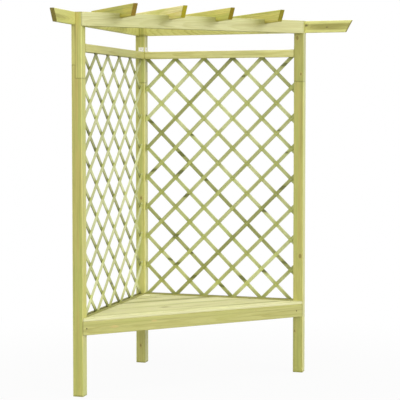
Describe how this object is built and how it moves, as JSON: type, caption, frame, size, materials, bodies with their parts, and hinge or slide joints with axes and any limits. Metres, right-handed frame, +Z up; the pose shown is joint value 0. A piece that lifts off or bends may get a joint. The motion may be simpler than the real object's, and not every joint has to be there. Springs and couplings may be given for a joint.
{
  "type": "arbour seat",
  "caption": "Corner arbour seat of planed pine: three posts, two trellis sides, a three-cornered seat and a roof of beams and rafters.",
  "frame": {"origin": "on the ground under the middle of the whole footprint, roof overhangs included", "axes": "+Z up; +X along the back trellis away from the corner post; -Y along the left trellis away from it, so the open side faces +X and -Y"},
  "size_m": [1.299, 1.299, 1.978],
  "materials": {
    "post_pine": "planed pressure-impregnated pine",
    "beam_pine": "planed pressure-impregnated pine",
    "rafter_pine": "planed pressure-impregnated pine",
    "rail_pine": "planed pressure-impregnated pine",
    "slat_pine": "planed pressure-impregnated pine",
    "seat_pine": "planed pressure-impregnated pine",
    "bracket_steel": "galvanised strip steel",
    "screw_steel": "zinc-plated steel"
  },
  "bodies": {
    "root": {"left_post_lower": "post_pine", "left_post_upper": "post_pine", "corner_post_lower": "post_pine", "corner_post_upper": "post_pine", "right_post_lower": "post_pine", "right_post_upper": "post_pine", "left_beam": "beam_pine", "back_beam": "beam_pine", "front_beam": "beam_pine", "rafter_1": "rafter_pine", "rafter_2": "rafter_pine", "rafter_3": "rafter_pine", "rafter_4": "rafter_pine", "left_top_rail": "rail_pine", "left_bottom_rail": "rail_pine", "left_trellis_inner": "slat_pine", "left_trellis_outer": "slat_pine", "back_top_rail": "rail_pine", "back_bottom_rail": "rail_pine", "back_trellis_inner": "slat_pine", "back_trellis_outer": "slat_pine", "seat_front_rail": "seat_pine", "left_seat_bearer": "rail_pine", "back_seat_bearer": "rail_pine", "middle_seat_bearer": "rail_pine", "seat_front_strip": "seat_pine", "seat_board_1": "seat_pine", "seat_board_2": "seat_pine", "seat_board_3": "seat_pine", "seat_corner_board": "seat_pine", "top_rail_brackets": "bracket_steel", "bottom_rail_brackets": "bracket_steel", "bearer_bracket": "bracket_steel", "lap_screws": "screw_steel", "beam_screws": "screw_steel", "front_beam_screws": "screw_steel", "rafter_screws": "screw_steel", "seat_frame_screws": "screw_steel", "seat_board_screws": "screw_steel", "bracket_screws": "screw_steel"}
  },
  "joints": []
}
